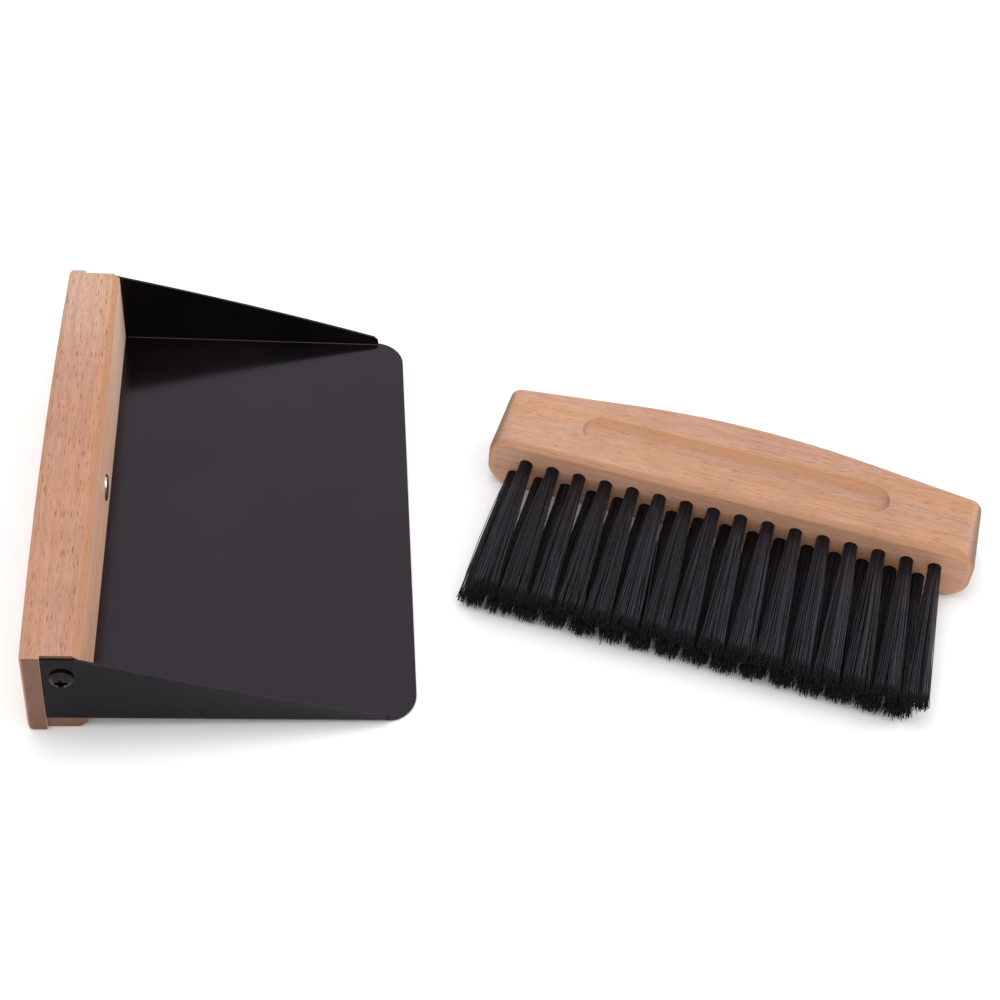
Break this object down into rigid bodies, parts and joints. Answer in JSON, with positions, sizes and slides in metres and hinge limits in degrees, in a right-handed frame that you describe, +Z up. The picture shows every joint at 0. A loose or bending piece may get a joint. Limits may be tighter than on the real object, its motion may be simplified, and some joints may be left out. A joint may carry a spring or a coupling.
{
  "type": "dust pan and brush set",
  "caption": "Small table dust pan of folded black sheet steel with a beech bar as its back and handle, and a beech hand brush with black bristles that docks in it by magnets.",
  "frame": {"origin": "on the floor, in the middle of the footprint of the pan and brush together", "axes": "+X from the pan's wooden bar towards its lip, +Y along the bar, +Z up"},
  "size_m": [0.3412, 0.195, 0.0397],
  "materials": {
    "beech": "sanded and oiled beech, satin",
    "powder_coat": "black powder coat, fine matt texture",
    "screw": "black oxide, satin",
    "nickel": "nickel plating, bright",
    "filament": "black nylon filaments, slight sheen",
    "anchor_wire": "plain drawn flat wire"
  },
  "bodies": {
    "pan": {"handle_bar": "beech", "pan_tray": "powder_coat", "wall_screw_near": "screw", "wall_screw_far": "screw", "dock_magnet": "nickel"},
    "brush": {"brush_block": "beech", "brush_magnet": "nickel", "front_tuft_01": "filament", "front_tuft_02": "filament", "front_tuft_03": "filament", "front_tuft_04": "filament", "front_tuft_05": "filament", "front_tuft_06": "filament", "front_tuft_07": "filament", "front_tuft_08": "filament", "front_tuft_09": "filament", "front_tuft_10": "filament", "front_tuft_11": "filament", "front_tuft_12": "filament", "front_tuft_13": "filament", "front_tuft_14": "filament", "front_tuft_15": "filament", "front_tuft_16": "filament", "front_anchors": "anchor_wire", "back_tuft_01": "filament", "back_tuft_02": "filament", "back_tuft_03": "filament", "back_tuft_04": "filament", "back_tuft_05": "filament", "back_tuft_06": "filament", "back_tuft_07": "filament", "back_tuft_08": "filament", "back_tuft_09": "filament", "back_tuft_10": "filament", "back_tuft_11": "filament", "back_tuft_12": "filament", "back_tuft_13": "filament", "back_tuft_14": "filament", "back_tuft_15": "filament", "back_tuft_16": "filament", "back_anchors": "anchor_wire"}
  },
  "joints": [
    {"name": "brush_lift", "type": "slide", "parent": "pan", "child": "brush", "axis": [0, 0, 1], "range_m": [0, 0.12]}
  ]
}
